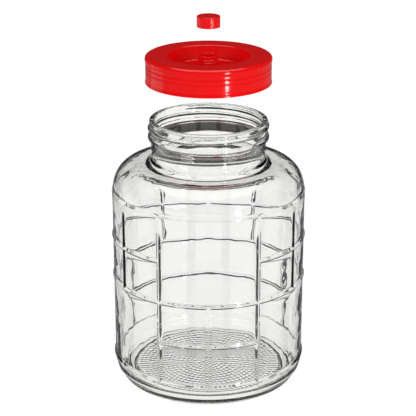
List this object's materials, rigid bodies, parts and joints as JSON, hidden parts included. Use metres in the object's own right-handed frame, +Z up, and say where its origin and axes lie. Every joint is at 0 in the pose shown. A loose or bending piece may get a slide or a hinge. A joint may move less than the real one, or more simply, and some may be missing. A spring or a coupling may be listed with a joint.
{
  "type": "fermentation jar with airlock",
  "caption": "Clear ribbed glass jar with a wide threaded mouth, a screw lid whose sunken pan holds water round a threaded spout, and a small screw cap that makes the airlock.",
  "frame": {"origin": "middle of the jar's underside, on the axis of the jar, lid and cap", "axes": "+Z up along the jar's axis, -Y the front with the wide plain panel, +X to its right"},
  "size_m": [0.197, 0.197, 0.376],
  "materials": {
    "clear_glass": "clear, glossy, slightly grey at the edges",
    "red_plastic": "glossy moulded polypropylene",
    "gasket_rubber": "smooth, milky",
    "liner_foam": "matte closed-cell foam"
  },
  "bodies": {
    "jar": {"glass_jar": "clear_glass"},
    "lid_seal": {"lid_gasket": "gasket_rubber"},
    "lid": {"lid": "red_plastic"},
    "cap_seal": {"cap_liner": "liner_foam"},
    "cap": {"spout_cap": "red_plastic"}
  },
  "joints": [
    {"name": "lid_lift", "type": "slide", "parent": "jar", "child": "lid_seal", "axis": [0, 0, 1], "range_m": [-0.06, 0]},
    {"name": "lid_turn", "type": "hinge", "parent": "lid_seal", "child": "lid", "pos_m": [0, 0, 0.31], "axis": [0, 0, 1], "range_deg": [-3600, 0]},
    {"name": "cap_lift", "type": "slide", "parent": "lid", "child": "cap_seal", "axis": [0, 0, 1], "range_m": [-0.03625, 0]},
    {"name": "cap_turn", "type": "hinge", "parent": "cap_seal", "child": "cap", "pos_m": [0, 0, 0.365], "axis": [0, 0, 1], "range_deg": [-5220, 0]}
  ],
  "couplings": [
    {"joint": "lid_lift", "follows": "lid_turn", "m_per_rad": 0.00095493},
    {"joint": "cap_lift", "follows": "cap_turn", "m_per_rad": 0.00039789}
  ]
}
